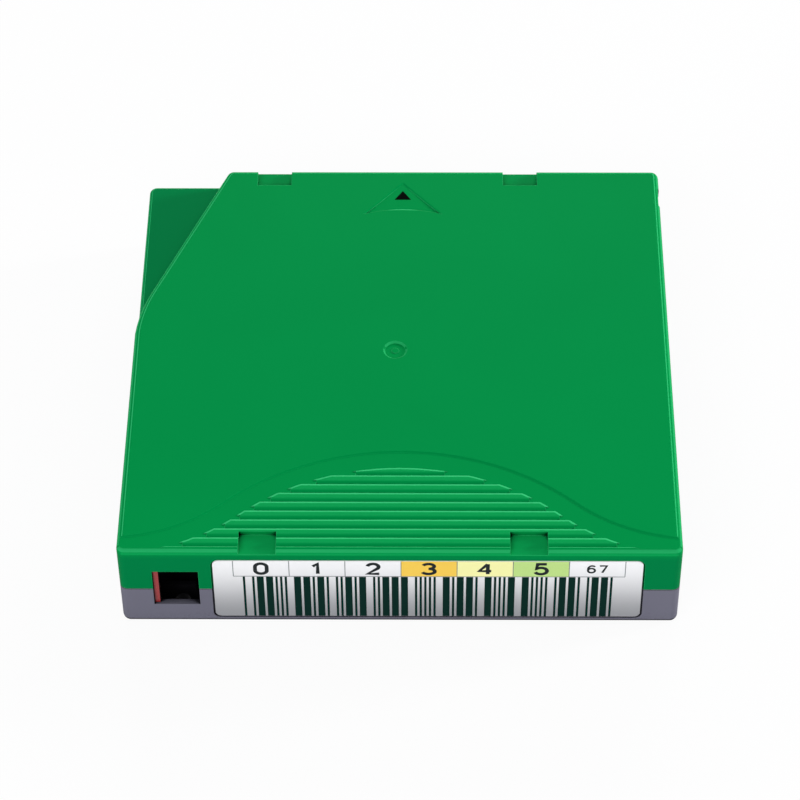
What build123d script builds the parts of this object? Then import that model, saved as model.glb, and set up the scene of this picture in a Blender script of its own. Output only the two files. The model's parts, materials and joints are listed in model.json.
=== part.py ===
from build123d import *
import os
from math import acos, atan2, cos, degrees, hypot, radians, sin, sqrt, tan

# Data tape cartridge with one reel, in millimetres.
# X runs along the label face, Y from the label face to the insertion end, Z up.
# The origin is at the middle of the underside.

# Case
CASE_W = 105.4
CASE_L = 102.0
CASE_H = 21.5
SEAM_Z = 10.0
WALL = 2.0
FLOOR = 1.8
ROOF = 1.9
CORNER_R = 1.5
EDGE_R = 1.3
INNER_CORNER_R = 0.5
SEAM_GROOVE = 0.14

# Stepped corner that guides the cartridge in
GUIDE_DROP = 4.9
GUIDE_ANGLE = 22.1
GUIDE_BACK_X = -36.0
GUIDE_BEND_R = 36.7
GUIDE_RUNOUT = 0.1
GUIDE_EDGE_R = 0.8

# Grip zone on top
SWOOSH_DEPTH = 0.2
SWOOSH_STEP_RUN = 0.35
SWOOSH_APEX = 24.65
SWOOSH_R = 49.5
SWOOSH_TURN = 42.0
SWOOSH_END_TURN = 5.0
RIB_COUNT = 9
RIB_PITCH = 2.187
RIB_FRONT_BAND = 0.98
RIB_FLAT = 1.2
RIB_SLOPE = 0.65
RIB_VALLEY = 0.4
RIB_VALLEY_GAP = 0.6
RIB_CREST_RUN = 0.4
RIB_CREST_DROP = 0.11
RIB_INSET = 4.28

# Marks moulded into the top
ARROW_TIP_GAP = 4.2
ARROW_LENGTH = 8.6
ARROW_HALF_W = 7.5
ARROW_BOW = 1.2
ARROW_TIP_DEPTH = 0.1
ARROW_BASE_DEPTH = 0.3
ARROW_EDGE_RUN = 0.3
ARROW_EDGE_DROP = 0.1
GATE_R = 2.35
GATE_FLOOR_R = 2.0
GATE_DEPTH = 0.35
GATE_BUTTON_R = 0.7
GATE_BUTTON_H = 0.1
NOTCH_W = 7.0
NOTCH_SPACING = 50.6
NOTCH_RUN = 4.6
NOTCH_DEPTH = 1.1
NOTCH_EDGE_DEPTH = 1.35

# Label
LABEL_LEFT_GAP = 17.75
LABEL_RIGHT_GAP = 7.25
LABEL_LOW_GAP = 1.8
LABEL_TOP_GAP = 3.3
LABEL_T = 0.2
LABEL_R = 1.2
LABEL_RECESS = 0.35
LABEL_MARGIN = 0.35

# Write-protect window and switch
WINDOW_W = 8.7
WINDOW_LEFT_GAP = 6.3
WINDOW_TOP_GAP = 6.4
WINDOW_Z = 5.4
WINDOW_WALL = 1.3
SWITCH_GAP = 0.1
SWITCH_T = 1.2
SWITCH_RIB_W = 1.1
SWITCH_RIB_SINK = 0.5
SWITCH_LAP = 0.7
SWITCH_TRAVEL = 7.0
SWITCH_FOOT_T = 0.9
SWITCH_FOOT_L = 4.0
SENSE_R = 1.5

# Reel
REEL_X = -1.2
REEL_WALL_GAP = 0.8
REEL_TOP_GAP = 1.95
REEL_SEAT_H = 0.7
OPENING_R = 19.5
OPENING_RIM = 2.0
HUB_R = 22.0
HUB_WALL = 2.0
HUB_FLOOR = 1.6
FLANGE_T = 1.1
FLANGE_EDGE_T = 0.9
TAPE_SIDE_GAP = 0.15
TAPE_EDGE_GAP = 1.6
SPIGOT_H = 1.1
SPIGOT_T = 1.0

# Toothed rings, both with teeth at the same pitch
TOOTH_COUNT = 60
TOOTH_SINK = 0.1
DRIVE_IN_R = 15.5
DRIVE_OUT_R = 18.5
DRIVE_TOOTH_H = 1.4
DRIVE_ROOT_SHARE = 0.7
DRIVE_TIP_SHARE = 0.3
BRAKE_IN_R = 11.2
BRAKE_OUT_R = 14.8
BRAKE_BASE_H = 0.9
BRAKE_TOOTH_H = 1.3
BRAKE_ROOT_SHARE = 0.62
BRAKE_TIP_SHARE = 0.28
BRAKE_MESH_GAP = 0.15
TEETH_LEFT_OUT = 3
PLATE_GAP = 0.3
PLATE_T = 0.8
PLATE_HOLE_R = 5.5
STAKE_R = 1.0
STAKE_HEAD_R = 1.5
STAKE_HEAD_T = 0.3
STAKE_PITCH_R = 10.3

# Brake
BRAKE_LIFT = 1.8
BUTTON_T = 1.8
POST_R = 6.8
POST_H = 5.0
KEY_W = 1.9
KEY_R = 4.8
KEY_GAP = 0.2
KEY_LAP = 2.2
SPRING_R = 9.2
SPRING_WIRE_R = 0.45
SPRING_TURNS = 5
WIRE_SIDES = 8
SPRING_SEAT_H = 0.8
SPRING_SEAT_T = 1.0
LEG_R = 1.4
LEG_GAP = 0.2
LEG_COUNT = 3
LEG_SHORT = 0.1
ARM_W = 3.0
ARM_T = 0.8
ARM_GAP = 0.25
BOSS_R = 3.5
PIVOT_R = 2.0
PIVOT_H = 1.1

# Leader pin at the door corner
PIN_X_GAP = 8.2
PIN_Y_GAP = 9.5
PIN_R = 1.3
PIN_FLANGE_R = 2.75
PIN_FLANGE_T = 1.0
PIN_CHAMFER = 0.2
PIN_POCKET_DEPTH = 1.2
RETAINER_T = 0.35
RETAINER_H = 0.8
RETAINER_OPEN = 100.0
POCKET_WALL = 1.1
POCKET_DOOR_GAP = 1.0
LEADER_T = 0.15
LEADER_OFF = 0.35
LEADER_WRAP = 240.0
CLIP_T = 0.75
CLIP_SHORT = 0.65
CLIP_FROM = 10.0
CLIP_TO = 258.0

# Door in the right wall
DOOR_OPENING = 13.0
DOOR_CORNER_GAP = 4.5
DOOR_T = 1.2
DOOR_GAP = 0.1
DOOR_LAP = 1.5
DOOR_GROOVE = 0.6
DOOR_HEAD = 1.1
DOOR_LIP_W = 1.8
DOOR_LIP_SINK = 0.5
DOOR_TRAVEL = 11.0
RELIEF_W = 5.0
RELIEF_CORNER_GAP = 5.0
RELIEF_DEPTH = 0.3
DOOR_SPRING_R = 1.0
DOOR_SPRING_WIRE_R = 0.2
DOOR_SPRING_TURNS = 12
DOOR_SPRING_L = 29.0
DOOR_SPRING_Z = 6.0
DOOR_ROD_R = 0.6
DOOR_ROD_L = 5.0
DOOR_STOP_T = 1.2

# Fasteners and locating holes
SCREW_R = 1.15
SCREW_HEAD_R = 2.2
SCREW_HEAD_T = 1.4
SCREW_CHAMFER = 0.3
SCREW_END_GAP = 1.1
SCREW_RECESS_L = 2.6
SCREW_RECESS_W = 0.5
SCREW_RECESS_D = 0.8
SCREW_CLEAR = 0.1
SCREW_HEAD_CLEAR = 0.2
POST_WALL = 0.8
SCREW_INSETS = [(-1, -1, 6.0, 10.0), (1, -1, 6.2, 15.0), (-1, 1, 6.2, 18.0), (1, 1, 14.7, 14.0)]
PILOT_EXTRA = 0.2
LOCATOR_R = 2.5
LOCATOR_DEPTH = 5.0
LOCATOR_WALL = 1.1
LOCATOR_SPACING = 75.4
LOCATOR_Y_GAP = 6.0
LOCATOR_SLOT = 1.0

# Memory board, leaning in the corner below the label
BOARD_W = 18.0
BOARD_L = 10.2
BOARD_T = 0.6
BOARD_R = 0.5
BOARD_Z = 2.2
BOARD_CORNER_GAP = 3.7
BOARD_WALL_GAP = 0.4
PROP_T = 1.0
PROP_INSET = 1.5
PROP_SHORT = 0.3
ANTENNA_W = 0.9
ANTENNA_T = 0.08
ANTENNA_EDGE = 0.7
ANTENNA_R = 0.8
CHIP_SIZE = 3.6
CHIP_T = 0.7
CHIP_CHAMFER = 0.2

# Ribs inside and grip notches outside
GUARD_T = 1.0
GUARD_GAP = 1.0
GUARD_H = 6.0
GUARD_SPANS = [(122, 146), (214, 236), (302, 326)]
ROOF_RIB_T = 1.0
ROOF_RIB_COUNT = 8
ROOF_RIB_FILL = 0.6
GRIP_W = 6.0
GRIP_H = 6.0
GRIP_DEPTH = 1.2
GRIP_FRONT_GAP = 8.0
GRIP_PAD = 1.0

# How far pieces of one moulding run into each other
FUSE = 0.3

# Derived places
HALF_W = CASE_W / 2
HALF_L = CASE_L / 2
CEILING_Z = CASE_H - ROOF
GUIDE_Z = CASE_H - GUIDE_DROP
INNER_X = HALF_W - WALL
INNER_Y = HALF_L - WALL
SWOOSH_Z = CASE_H - SWOOSH_DEPTH

DOOR_OUT = INNER_X - DOOR_GAP
DOOR_IN = DOOR_OUT - DOOR_T

LABEL_X0 = -HALF_W + LABEL_LEFT_GAP
LABEL_X1 = HALF_W - LABEL_RIGHT_GAP
LABEL_Z1 = CASE_H - LABEL_TOP_GAP

FLANGE_R = min(INNER_Y, INNER_X + REEL_X, DOOR_IN - REEL_X) - REEL_WALL_GAP
TAPE_R = FLANGE_R - TAPE_EDGE_GAP
REEL_Z = FLOOR + REEL_SEAT_H
HUB_FLOOR_TOP = REEL_Z + HUB_FLOOR
LOWER_FLANGE_TOP = REEL_Z + FLANGE_T
TAPE_Z = LOWER_FLANGE_TOP + TAPE_SIDE_GAP
UPPER_FLANGE_TOP = CEILING_Z - REEL_TOP_GAP
UPPER_FLANGE_Z = UPPER_FLANGE_TOP - FLANGE_T
TAPE_TOP = UPPER_FLANGE_Z - TAPE_SIDE_GAP
HUB_IN_R = HUB_R - HUB_WALL

BRAKE_ROOT_Z = HUB_FLOOR_TOP + BRAKE_BASE_H
BUTTON_Z = BRAKE_ROOT_Z + BRAKE_TOOTH_H + BRAKE_MESH_GAP
BUTTON_TOP = BUTTON_Z + BUTTON_T
POST_TOP = BUTTON_TOP + POST_H
KEY_Z = POST_TOP - KEY_LAP
SPIDER_TOP = BUTTON_Z - BRAKE_MESH_GAP - ARM_T / 2
LEG_R_FROM_AXIS = (DRIVE_IN_R + DRIVE_OUT_R) / 2
DRIVE_TIP_Z = REEL_Z - DRIVE_TOOTH_H
LEG_ANGLES = [90 + 360 * i / LEG_COUNT for i in range(LEG_COUNT)]

WINDOW_X = -HALF_W + WINDOW_LEFT_GAP
WINDOW_RIGHT = WINDOW_X + WINDOW_W
WINDOW_TOP = CASE_H - WINDOW_TOP_GAP
POCKET_Y = -HALF_L + WINDOW_WALL
SWITCH_X = -INNER_X + 3 * SWITCH_GAP
SWITCH_RIGHT = WINDOW_X + SWITCH_RIB_W
SWITCH_FRONT = POCKET_Y + SWITCH_GAP
SWITCH_BACK = SWITCH_FRONT + SWITCH_T
FOOT_FRONT = -INNER_Y + SWITCH_GAP
FOOT_BACK = FOOT_FRONT + SWITCH_FOOT_L
SENSE_X = (SWITCH_X + WINDOW_X) / 2 + SWITCH_TRAVEL
SENSE_Y = (FOOT_FRONT + FOOT_BACK) / 2

PIN_X = HALF_W - PIN_X_GAP
PIN_Y = HALF_L - PIN_Y_GAP
PIN_TOP = CEILING_Z - PIN_POCKET_DEPTH
POCKET_R = PIN_FLANGE_R + RETAINER_T

DOOR_Y_END = HALF_L - DOOR_CORNER_GAP
DOOR_Y_START = DOOR_Y_END - DOOR_OPENING
DOOR_BACK = DOOR_Y_START - DOOR_LAP
DOOR_FRONT = DOOR_Y_END + DOOR_LAP
DOOR_SPRING_Y = DOOR_BACK - DOOR_SPRING_L

BOARD_RISE = BOARD_L / sqrt(2)
BOARD_FOOT_Y = -INNER_Y + BOARD_WALL_GAP

POST_RADIUS = SCREW_HEAD_R + SCREW_HEAD_CLEAR + POST_WALL
SCREW_SEAT_Z = FLOOR + POST_WALL
SCREW_END_Z = GUIDE_Z - ROOF - SCREW_END_GAP
SCREW_PLACES = [(side * (HALF_W - from_side), end * (HALF_L - from_end))
                for side, end, from_side, from_end in SCREW_INSETS]
LOCATOR_Y = HALF_L - LOCATOR_Y_GAP


def block(x0, x1, y0, y1, z0, z1):
    """Box between two corners."""
    return Pos(x0, y0, z0) * Box(x1 - x0, y1 - y0, z1 - z0, align=(Align.MIN,) * 3)


def disc(radius, z0, z1, x=REEL_X, y=0.0):
    """Upright cylinder, about the reel axis unless told otherwise."""
    upright = (Align.CENTER, Align.CENTER, Align.MIN)
    return Pos(x, y, z0) * Cylinder(radius, z1 - z0, align=upright)


def ring(inner, outer, z0, z1, x=REEL_X, y=0.0):
    """Upright tube."""
    return disc(outer, z0, z1, x, y) - disc(inner, z0, z1, x, y)


def prism(plan, z0, z1):
    """Flat outline raised from one height to another."""
    return extrude(Pos(0, 0, z0) * plan, amount=z1 - z0, dir=(0, 0, 1))


def front_panel(x0, x1, z0, z1, radius, y_front, y_back):
    """Rounded rectangle standing in the XZ plane, between two depths."""
    outline = RectangleRounded(x1 - x0, z1 - z0, radius)
    place = Pos((x0 + x1) / 2, y_back, (z0 + z1) / 2) * Rot(90, 0, 0)
    return place * extrude(outline, amount=y_back - y_front)


def sector(inner, outer, z0, z1, start, end, x=REEL_X, y=0.0):
    """Part of a tube between two angles."""
    profile = Pos((inner + outer) / 2, (z0 + z1) / 2) * Rectangle(outer - inner, z1 - z0)
    turned = revolve(Plane.XZ * profile, axis=Axis.Z, revolution_arc=end - start)
    return Pos(x, y, 0) * Rot(0, 0, start) * turned


def coil(radius, wire_r, length, turns):
    """Compression spring along +Z, from 0 to its length, of wire with flats all round."""
    rise = length - 2 * wire_r
    path = Helix(pitch=rise / turns, height=rise, radius=radius)
    wire = Plane(origin=path @ 0, z_dir=path % 0) * RegularPolygon(wire_r, WIRE_SIDES)
    return Pos(0, 0, wire_r) * sweep(wire, path=path, is_frenet=True)


def face_teeth(inner, outer, z_root, height, fill, offset=0.0, gap_half_angle=0.0):
    """Radial face teeth that widen outwards, with gaps where the spider's legs or arms pass."""
    pitch = 360 / TOOTH_COUNT
    root_share, tip_share = fill

    def section(radius):
        step = radians(pitch) * radius
        root = root_share * step / 2
        tip = tip_share * step / 2
        sink = -TOOTH_SINK if height > 0 else TOOTH_SINK
        outline = Polygon((-root, sink), (root, sink), (root, 0), (tip, height), (-tip, height), (-root, 0),
                          align=None)
        return Pos(radius, 0, z_root) * (Plane.YZ * outline)

    tooth = loft([section(inner), section(outer)], ruled=True)
    places = []
    for index in range(TOOTH_COUNT):
        angle = index * pitch + offset
        away = [abs((angle - leg + 180) % 360 - 180) for leg in LEG_ANGLES]
        if min(away) >= gap_half_angle:
            places.append(Pos(REEL_X, 0, 0) * Rot(0, 0, angle) * tooth)
    return places


def case_plan(inset=0.0):
    """Rounded rectangle of the case, moved inwards by a wall's thickness."""
    radius = max(CORNER_R - inset, INNER_CORNER_R)
    return RectangleRounded(CASE_W - 2 * inset, CASE_L - 2 * inset, radius)


def raised_plan(inset=0.0):
    """The case outline without the stepped corner: a straight slanted wall that bends into the left side."""
    slant = radians(GUIDE_ANGLE)
    left = -HALF_W - GUIDE_RUNOUT + inset
    back_x = GUIDE_BACK_X + inset / cos(slant)
    bend_y = HALF_L + (left - back_x) / tan(slant)
    keep = Polygon((left, -CASE_L), (CASE_W, -CASE_L), (CASE_W, CASE_L),
                   (back_x + HALF_L * tan(slant), CASE_L), (left, bend_y), align=None)
    bend = keep.vertices().sort_by_distance((left, bend_y, 0))[0]
    keep = fillet(bend, GUIDE_BEND_R - inset)
    plan = case_plan(inset) & keep
    if inset == 0:
        corner = plan.vertices().sort_by_distance((back_x, HALF_L, 0))[0]
        plan = fillet(corner, CORNER_R)
    return plan


def seam_groove(z0, z1):
    """Fine step all round, so that the two shells meet in a shadow line."""
    return prism(case_plan(-1.0) - case_plan(SEAM_GROOVE), z0, z1)


def swoosh_arcs(inset=0.0):
    """Main arc's radius and centre, and the radius and centre of the tail arc that leads to the side."""
    turn = radians(SWOOSH_TURN)
    centre_y = -HALF_L + SWOOSH_APEX - SWOOSH_R
    end_x = SWOOSH_R * sin(turn)
    tail_r = (HALF_W + GUIDE_RUNOUT - end_x) / (sin(turn) - sin(radians(SWOOSH_END_TURN)))
    tail_x = end_x + tail_r * sin(turn)
    tail_y = centre_y + (SWOOSH_R + tail_r) * cos(turn)
    return SWOOSH_R - inset, centre_y, tail_r + inset, tail_x, tail_y


def swoosh_half_width(y, inset=0.0):
    """Half the width of the swoosh at a distance along Y."""
    main_r, centre_y, tail_r, tail_x, tail_y = swoosh_arcs(inset)
    if y > centre_y + main_r * cos(radians(SWOOSH_TURN)):
        return sqrt(max(main_r**2 - (y - centre_y)**2, 0))
    return tail_x - sqrt(max(tail_r**2 - (y - tail_y)**2, 0))


def swoosh_plan(inset=0.0):
    """Everything between the bell-shaped line, or one at a distance inside it, and the label face."""
    main_r, centre_y, tail_r, tail_x, tail_y = swoosh_arcs(inset)
    front = -HALF_L - 2

    def tail(angle, side):
        turn = radians(angle)
        return side * (tail_x - tail_r * sin(turn)), tail_y - tail_r * cos(turn)

    start = tail(SWOOSH_TURN, 1)
    middle = (SWOOSH_TURN + SWOOSH_END_TURN) / 2
    bow = ThreePointArc(tail(SWOOSH_TURN, -1), (0, centre_y + main_r), start)
    right = ThreePointArc(start, tail(middle, 1), tail(SWOOSH_END_TURN, 1))
    left = ThreePointArc(tail(SWOOSH_END_TURN, -1), tail(middle, -1), tail(SWOOSH_TURN, -1))
    right_end = tail(SWOOSH_END_TURN, 1)
    left_end = tail(SWOOSH_END_TURN, -1)
    rest = Polyline(right_end, (right_end[0], front), (left_end[0], front), left_end)
    return make_face([bow, right, rest, left])


def rib_edges(index):
    """Back edge of a grip rib, counted from the far one, the front edge of its flat top, and its front."""
    back = -HALF_L + RIB_FRONT_BAND + (RIB_COUNT - index) * RIB_PITCH
    return back, back - RIB_FLAT, back - RIB_PITCH


def rib_plan(index):
    """Outline of a rib, which ends on a line that follows the swoosh."""
    back, flat_front, front = rib_edges(index)
    if index == RIB_COUNT:
        front = -HALF_L - 1
        flat_front = front
    flat = Pos(0, (back + flat_front) / 2) * Rectangle(CASE_W, back - flat_front)
    plan = flat & swoosh_plan(RIB_INSET)
    if index == RIB_COUNT:
        return plan
    half = swoosh_half_width(flat_front, RIB_INSET) - RIB_VALLEY_GAP
    return plan + Pos(0, (flat_front + front) / 2) * Rectangle(2 * half, flat_front - front)


def rib_crest(index):
    """Top of a rib, which slopes down to its back edge and to its ends."""
    back, _, front = rib_edges(index)
    low_z = CASE_H - RIB_CREST_DROP

    def level(inset, z):
        strip = Pos(0, (back - inset + front) / 2, z) * Rectangle(CASE_W, back - inset - front)
        return strip & (Pos(0, 0, z) * swoosh_plan(RIB_INSET + inset))

    crest = loft([level(0, low_z), level(RIB_CREST_RUN, CASE_H)], ruled=True)
    return crest & prism(rib_plan(index), low_z, CASE_H)


def rib_valley(index):
    """Groove in front of a rib: a slope down from its flat top, then the steep back of the next rib."""
    _, flat_front, front = rib_edges(index)
    half = swoosh_half_width(flat_front, RIB_INSET) - RIB_VALLEY_GAP
    low = CASE_H - RIB_VALLEY
    profile = Polygon((flat_front, CASE_H), (flat_front - RIB_SLOPE, low), (front, low), (front, CASE_H + 1),
                      (flat_front, CASE_H + 1), align=None)
    return extrude(Pos(-half, 0, 0) * (Plane.YZ * profile), amount=2 * half, dir=(1, 0, 0))


def cut_grip(shell):
    """Sink the swoosh behind a sloped step, leave the ribs standing and cut their valleys."""
    levels = [Pos(0, 0, SWOOSH_Z) * swoosh_plan(SWOOSH_STEP_RUN), Pos(0, 0, CASE_H) * swoosh_plan()]
    sunk = loft(levels, ruled=True)
    ribs = [prism(rib_plan(i), SWOOSH_Z - 1, CASE_H - RIB_CREST_DROP) for i in range(RIB_COUNT + 1)]
    crests = [rib_crest(i) for i in range(RIB_COUNT + 1)]
    shell -= sunk - ribs - crests
    return shell - [rib_valley(i) for i in range(RIB_COUNT)]


def edge_notches():
    """Four shallow notches in the top edge, two at the label face and two at the insertion end."""
    notches = []
    for side in (-1, 1):
        outer = side * (HALF_L + 1)
        inner = side * (HALF_L - NOTCH_RUN)
        profile = Polygon((inner, CASE_H - NOTCH_DEPTH), (outer, CASE_H - NOTCH_EDGE_DEPTH),
                          (outer, CASE_H + 1), (inner, CASE_H + 1), align=None)
        bar = extrude(Plane.YZ * profile, amount=NOTCH_W / 2, both=True)
        for shift in (-NOTCH_SPACING / 2, NOTCH_SPACING / 2):
            notches.append(Pos(REEL_X + shift, 0, 0) * bar)
    return notches


def arrow_outline(z, spread=0.0):
    """Arrowhead with a bowed base, at a height, moved outwards all round."""
    flank = hypot(ARROW_LENGTH, ARROW_HALF_W)
    tip_y = HALF_L - ARROW_TIP_GAP
    base_y = tip_y - ARROW_LENGTH - spread
    out_y = spread * flank / ARROW_HALF_W
    half = ARROW_HALF_W * (tip_y + out_y - base_y) / ARROW_LENGTH
    left, right, tip = (-half, base_y), (half, base_y), (0, tip_y + out_y)
    base = ThreePointArc(right, (0, base_y + ARROW_BOW), left)
    return Pos(0, 0, z) * make_face([Line(left, tip), Line(tip, right), base])


def arrow_mark():
    """Insertion arrow whose floor slopes down from the tip to the base, with eased edges."""
    tip_y = HALF_L - ARROW_TIP_GAP
    base_y = tip_y - ARROW_LENGTH
    profile = Polygon((tip_y, CASE_H - ARROW_TIP_DEPTH), (base_y, CASE_H - ARROW_BASE_DEPTH), (base_y, CASE_H + 1),
                      (tip_y, CASE_H + 1), align=None)
    wedge = extrude(Plane.YZ * profile, amount=ARROW_HALF_W, both=True)
    outline = arrow_outline(CASE_H - ARROW_BASE_DEPTH)
    sunk = wedge & extrude(outline, amount=ARROW_BASE_DEPTH + 1, dir=(0, 0, 1))
    edge = loft([arrow_outline(CASE_H - ARROW_EDGE_DROP), arrow_outline(CASE_H, ARROW_EDGE_RUN)], ruled=True)
    return sunk + (edge - prism(arrow_outline(0), CASE_H - 1, CASE_H))


def gate_mark():
    """Sunk moulding gate with a small button, over the reel axis."""
    well = Cone(GATE_FLOOR_R, GATE_R, GATE_DEPTH, align=(Align.CENTER, Align.CENTER, Align.MIN))
    floor_z = CASE_H - GATE_DEPTH
    return Pos(REEL_X, 0, floor_z) * well - disc(GATE_BUTTON_R, floor_z - 1, floor_z + GATE_BUTTON_H)


def window_cut():
    """Window in the label face and the pocket behind it in which the switch runs."""
    window = block(WINDOW_X, WINDOW_RIGHT, -HALF_L - 1, -INNER_Y + 1, WINDOW_Z, WINDOW_TOP)
    pocket = block(-INNER_X, WINDOW_RIGHT + SWITCH_LAP, POCKET_Y, -INNER_Y + 1,
                   WINDOW_Z - SWITCH_LAP - SWITCH_GAP, WINDOW_TOP + SWITCH_LAP + SWITCH_GAP)
    return window + pocket


def label_recess():
    """Shallow recess for the label, a little larger than it."""
    return front_panel(LABEL_X0 - LABEL_MARGIN, LABEL_X1 + LABEL_MARGIN, LABEL_LOW_GAP - LABEL_MARGIN,
                       LABEL_Z1 + LABEL_MARGIN, LABEL_R + LABEL_MARGIN, -HALF_L - 1, -HALF_L + LABEL_RECESS)


def door_cut():
    """Opening for the leader pin, and the grooves in floor and ceiling that the door runs in."""
    opening = block(INNER_X - 1, HALF_W + 1, DOOR_Y_START, DOOR_Y_END, FLOOR, CEILING_Z - DOOR_HEAD)
    groove = block(DOOR_IN - DOOR_GAP, INNER_X, DOOR_BACK - DOOR_TRAVEL - DOOR_GAP, DOOR_FRONT + DOOR_GAP,
                   FLOOR - DOOR_GROOVE, CEILING_Z + DOOR_GROOVE)
    return opening + groove


def pin_pocket(z0, z1):
    """U-shaped wall round one end of the leader pin, open towards the door."""
    outer = POCKET_R + POCKET_WALL
    reach = DOOR_IN - POCKET_DOOR_GAP
    wall = disc(outer, z0, z1, PIN_X, PIN_Y) + block(PIN_X, reach, PIN_Y - outer, PIN_Y + outer, z0, z1)
    room = disc(POCKET_R, z0 - 1, z1 + 1, PIN_X, PIN_Y)
    room += block(PIN_X, reach + 1, PIN_Y - POCKET_R, PIN_Y + POCKET_R, z0 - 1, z1 + 1)
    return wall - room


def brake_key(width, radius, z0, z1):
    """Upright cross about the reel axis."""
    arm = block(-radius, radius, -width / 2, width / 2, z0, z1)
    return Pos(REEL_X, 0, 0) * (arm + Rot(0, 0, 90) * arm)


def upper_shell():
    """Green upper moulding."""
    low_part = prism(case_plan(), SEAM_Z, GUIDE_Z)
    low_part = fillet(low_part.faces().sort_by(Axis.Z)[-1].edges(), GUIDE_EDGE_R)
    high_part = prism(raised_plan(), SEAM_Z, CASE_H)
    high_part = fillet(high_part.faces().sort_by(Axis.Z)[-1].edges(), EDGE_R)
    form = low_part + high_part
    shell = form - prism(case_plan(WALL), SEAM_Z, GUIDE_Z - ROOF)
    shell -= prism(raised_plan(WALL), SEAM_Z, CEILING_Z)
    shell -= seam_groove(SEAM_Z - 1, SEAM_Z + SEAM_GROOVE)

    for x, y in SCREW_PLACES:
        shell += disc(POST_RADIUS, SEAM_Z, CASE_H - ROOF / 2, x, y) & form
        shell -= disc(SCREW_R, SEAM_Z - 1, SCREW_END_Z + PILOT_EXTRA, x, y)

    shell += brake_key(KEY_W, KEY_R, KEY_Z, CEILING_Z)
    seat_r = SPRING_R + SPRING_WIRE_R + KEY_GAP
    shell += ring(seat_r, seat_r + SPRING_SEAT_T, CEILING_Z - SPRING_SEAT_H, CEILING_Z)
    shell += roof_ribs(seat_r + SPRING_SEAT_T)

    shell += pin_pocket(PIN_TOP - PIN_FLANGE_T - KEY_GAP, CEILING_Z)
    shell += disc(POCKET_R + POCKET_WALL, PIN_TOP, CEILING_Z, PIN_X, PIN_Y)
    guide_back = SWITCH_BACK + SWITCH_GAP
    shell += block(-INNER_X, WINDOW_RIGHT + SWITCH_LAP, guide_back, guide_back + PROP_T,
                   WINDOW_TOP + SWITCH_GAP, CEILING_Z)

    shell = cut_grip(shell)
    shell -= edge_notches()
    shell -= [arrow_mark(), gate_mark(), window_cut(), label_recess(), door_cut()]
    relief_end = HALF_L - RELIEF_CORNER_GAP
    shell -= block(HALF_W - RELIEF_DEPTH, HALF_W + 1, relief_end - RELIEF_W, relief_end, SEAM_Z, CASE_H + 1)
    return shell


def roof_ribs(start_r):
    """Stiffening ribs under the roof, above the reel."""
    height = (CEILING_Z - UPPER_FLANGE_TOP) * ROOF_RIB_FILL
    reach = FLANGE_R - 2 * TAPE_EDGE_GAP
    rib = block(start_r - FUSE, reach, -ROOF_RIB_T / 2, ROOF_RIB_T / 2, CEILING_Z - height, CEILING_Z)
    turns = [360 * i / ROOF_RIB_COUNT for i in range(ROOF_RIB_COUNT)]
    return [Pos(REEL_X, 0, 0) * Rot(0, 0, turn) * rib for turn in turns]


def board_prop(x):
    """Three-cornered rib that the memory board leans on."""
    slope = BOARD_FOOT_Y + BOARD_RISE + BOARD_Z
    low = FLOOR - FUSE
    high = SEAM_Z - PROP_SHORT
    wall = -INNER_Y - FUSE
    profile = Polygon((wall, low), (slope - low, low), (slope - high, high), (wall, high), align=None)
    return extrude(Pos(x, 0, 0) * (Plane.YZ * profile), amount=PROP_T, dir=(1, 0, 0))


def reel_guards():
    """Low curved walls round the reel in three corners."""
    inner = FLANGE_R + GUARD_GAP
    return [sector(inner, inner + GUARD_T, FLOOR - FUSE, FLOOR + GUARD_H, a, b) for a, b in GUARD_SPANS]


def grip_notch(side):
    """Notch low in a side wall near the label face, for a handling arm."""
    start = -HALF_L + GRIP_FRONT_GAP
    outer = side * (HALF_W + 1)
    inner = side * (HALF_W - GRIP_DEPTH)
    return block(min(outer, inner), max(outer, inner), start, start + GRIP_W, -1, GRIP_H)


def grip_pad(side):
    """Thicker wall behind a grip notch."""
    start = -HALF_L + GRIP_FRONT_GAP - GRIP_PAD
    outer = side * (INNER_X + FUSE)
    inner = side * (INNER_X - GRIP_DEPTH)
    return block(min(outer, inner), max(outer, inner), start, start + GRIP_W + 2 * GRIP_PAD,
                 FLOOR - FUSE, GRIP_H + GRIP_PAD)


def locator_hole(radius, z0, z1, slot):
    """Round locating hole, or a slot along X when it is stretched."""
    return prism(SlotOverall(2 * radius + slot, 2 * radius), z0, z1)


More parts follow.
